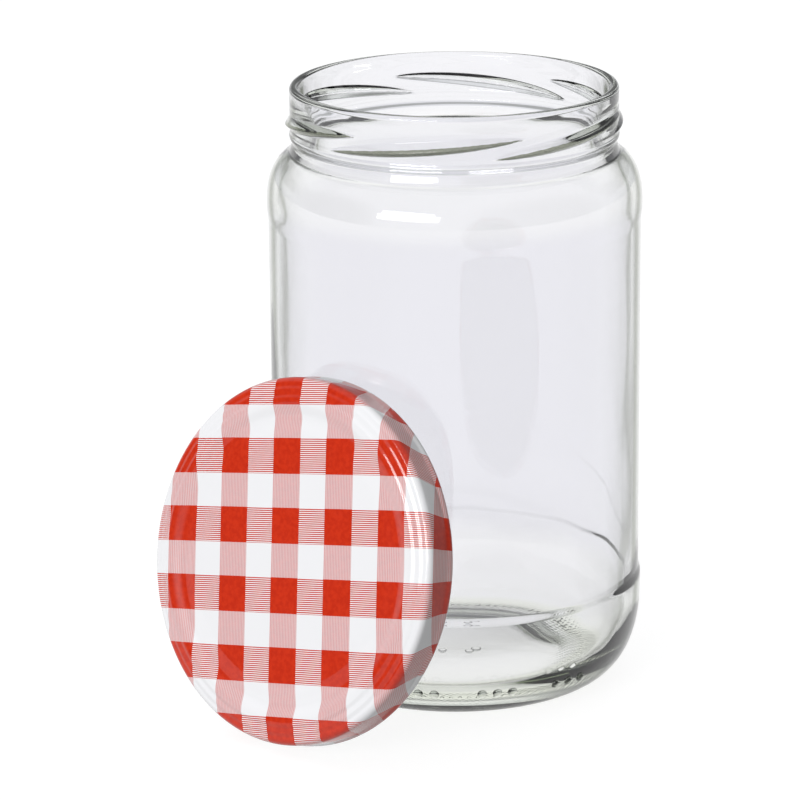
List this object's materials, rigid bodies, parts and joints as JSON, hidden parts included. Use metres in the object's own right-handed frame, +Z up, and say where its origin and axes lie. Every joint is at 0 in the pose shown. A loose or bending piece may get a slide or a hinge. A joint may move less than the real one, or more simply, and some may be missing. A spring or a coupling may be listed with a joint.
{
  "type": "canning jar",
  "caption": "Round clear glass canning jar with a screw mouth, standing empty, its gingham metal screw lid leaning against its front.",
  "frame": {"origin": "middle of the footprint box of jar and leaning lid, at the height of the table they stand on", "axes": "+Z up along the jar's axis, -Y towards the side on which the lid leans, X across"},
  "size_m": [0.0922, 0.1198, 0.1471],
  "materials": {
    "glass": "clear pressed and blown glass with a faint green tint, glossy",
    "printed_tinplate": "tinplate printed with a red and white gingham check under glossy lacquer, light lacquer inside",
    "sealing_compound": "soft off-white sealing compound, satin"
  },
  "bodies": {
    "root": {"glass_jar": "glass", "lid": "printed_tinplate", "lid_seal": "sealing_compound"}
  },
  "joints": []
}
